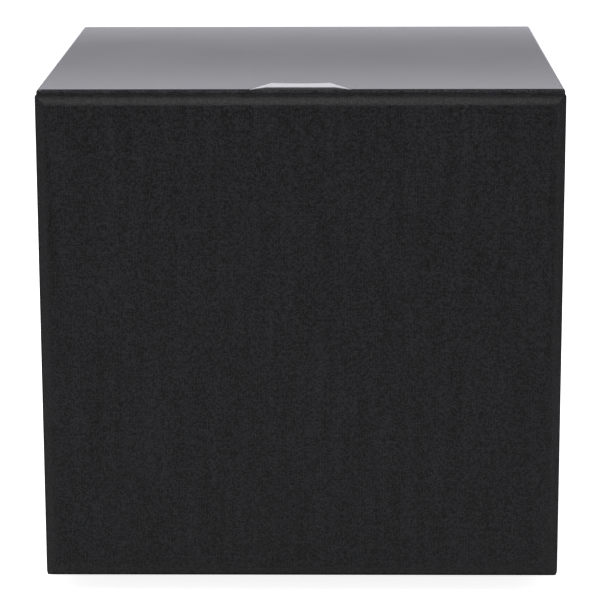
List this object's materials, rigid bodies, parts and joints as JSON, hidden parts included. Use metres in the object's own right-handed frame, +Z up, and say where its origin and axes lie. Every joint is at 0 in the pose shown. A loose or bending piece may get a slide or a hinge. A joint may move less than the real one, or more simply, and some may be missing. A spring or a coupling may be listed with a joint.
{
  "type": "powered subwoofer",
  "caption": "Cube-shaped powered subwoofer with a pull-off cloth grille, a front-firing driver and a plate amplifier in its back.",
  "frame": {"origin": "on the floor, under the middle of the object's box", "axes": "+Z up, -Y towards the grille, +X to the right seen from the front"},
  "size_m": [0.37, 0.39, 0.3666],
  "materials": {
    "cabinet_lacquer": "black lacquer over fibreboard",
    "board_black": "fibreboard painted matt black",
    "board_raw": "bare fibreboard",
    "wadding": "white polyester wadding",
    "badge_metal": "brushed",
    "badge_dark": "dark grey moulded plastic",
    "foot_rubber": "matt black rubber",
    "screw_black": "black oxide steel",
    "grille_cloth": "black knitted speaker cloth",
    "grille_plastic": "moulded black plastic",
    "socket_rubber": "black rubber",
    "basket_paint": "cast, black powder coat",
    "gasket_foam": "closed-cell foam",
    "plate_steel": "zinc-plated steel",
    "ferrite": "sintered ferrite",
    "terminal_board": "phenolic strip with plated tags",
    "spider_cloth": "resin-doped cotton",
    "surround_rubber": "butyl rubber, satin",
    "cone_paper": "black coated paper pulp",
    "former_aluminium": "rolled foil",
    "copper_wire": "enamelled copper",
    "amp_black": "black textured powder coat",
    "sink_anodised": "black anodised extrusion",
    "knob_plastic": "black moulded plastic",
    "shaft_steel": "plated steel",
    "pot_case": "plated can with a moulded bushing",
    "nut_nickel": "nickel plate",
    "switch_plastic": "black moulded plastic",
    "led_lens": "tinted lens",
    "rca_black": "black insulator",
    "contact_brass": "gold flash",
    "ring_white": "white",
    "ring_red": "red",
    "inlet_plastic": "black nylon",
    "pin_nickel": "nickel-plated brass",
    "fuse_glass": "glass tube with metal caps",
    "rocker_black": "black nylon",
    "toroid_wrap": "steel and copper winding under amber tape",
    "pad_rubber": "neoprene",
    "clamp_steel": "zinc-plated steel",
    "board_green": "green solder resist",
    "component_black": "sleeved capacitors and moulded packages"
  },
  "bodies": {
    "cabinet": {"top_panel": "cabinet_lacquer", "bottom_panel": "cabinet_lacquer", "left_panel": "cabinet_lacquer", "right_panel": "cabinet_lacquer", "front_baffle": "board_black", "back_panel": "board_black", "window_brace": "board_raw", "wadding": "wadding", "badge_plate": "badge_metal", "badge_carrier": "badge_dark", "feet": "foot_rubber", "foot_screws": "screw_black", "driver_screws": "screw_black", "amp_screws": "screw_black", "grille_sockets": "socket_rubber", "driver_basket": "basket_paint", "driver_gasket": "gasket_foam", "amp_gasket": "gasket_foam", "top_plate": "plate_steel", "pole_yoke": "plate_steel", "magnet_ring": "ferrite", "terminal_strip": "terminal_board", "amp_plate": "amp_black", "heat_sink": "sink_anodised", "potentiometers": "pot_case", "control_nuts": "nut_nickel", "rca_shells": "nut_nickel", "switch_bodies": "switch_plastic", "power_led": "led_lens", "rca_cores": "rca_black", "rca_contacts": "contact_brass", "rca_ring_white": "ring_white", "rca_ring_red": "ring_red", "mains_inlet": "inlet_plastic", "inlet_pins": "pin_nickel", "rocker_housing": "rocker_black", "toroid": "toroid_wrap", "toroid_pads": "pad_rubber", "toroid_clamp": "clamp_steel", "board_standoffs": "clamp_steel", "amp_board": "board_green", "board_components": "component_black"},
    "grille": {"grille_cloth": "grille_cloth", "grille_frame": "grille_plastic", "grille_pegs": "grille_plastic"},
    "moving_cone": {"cone": "cone_paper", "dust_cap": "cone_paper", "voice_coil_former": "former_aluminium", "voice_coil_winding": "copper_wire", "surround": "surround_rubber", "spider": "spider_cloth"},
    "volume_control": {"volume_knob": "knob_plastic", "volume_shaft": "shaft_steel"},
    "crossover_control": {"crossover_knob": "knob_plastic", "crossover_shaft": "shaft_steel"},
    "phase_button": {"phase_slider": "switch_plastic"},
    "mode_button": {"mode_slider": "switch_plastic"},
    "fuse_tray": {"fuse_drawer": "inlet_plastic", "fuse": "fuse_glass"},
    "rocker": {"power_rocker": "rocker_black"}
  },
  "joints": [
    {"name": "grille_pull", "type": "slide", "parent": "cabinet", "child": "grille", "axis": [0, -1, 0], "range_m": [0, 0.12]},
    {"name": "cone_travel", "type": "slide", "parent": "cabinet", "child": "moving_cone", "axis": [0, -1, 0], "range_m": [-0.012, 0.012], "stiffness_N_per_m": 5000, "deforming": ["surround", "spider"]},
    {"name": "volume_turn", "type": "hinge", "parent": "cabinet", "child": "volume_control", "pos_m": [0.078, 0.19, 0.2155], "axis": [0, 1, 0], "range_deg": [-150, 150]},
    {"name": "crossover_turn", "type": "hinge", "parent": "cabinet", "child": "crossover_control", "pos_m": [0.028, 0.19, 0.2155], "axis": [0, 1, 0], "range_deg": [-150, 150]},
    {"name": "phase_slide", "type": "slide", "parent": "cabinet", "child": "phase_button", "axis": [-1, 0, 0], "range_m": [0, 0.004]},
    {"name": "mode_slide", "type": "slide", "parent": "cabinet", "child": "mode_button", "axis": [-1, 0, 0], "range_m": [0, 0.004]},
    {"name": "fuse_tray_slide", "type": "slide", "parent": "cabinet", "child": "fuse_tray", "axis": [0, 1, 0], "range_m": [0, 0.015]},
    {"name": "power_rock", "type": "hinge", "parent": "cabinet", "child": "rocker", "pos_m": [-0.02, 0.18, 0.1085], "axis": [1, 0, 0], "range_deg": [0, 16]}
  ]
}
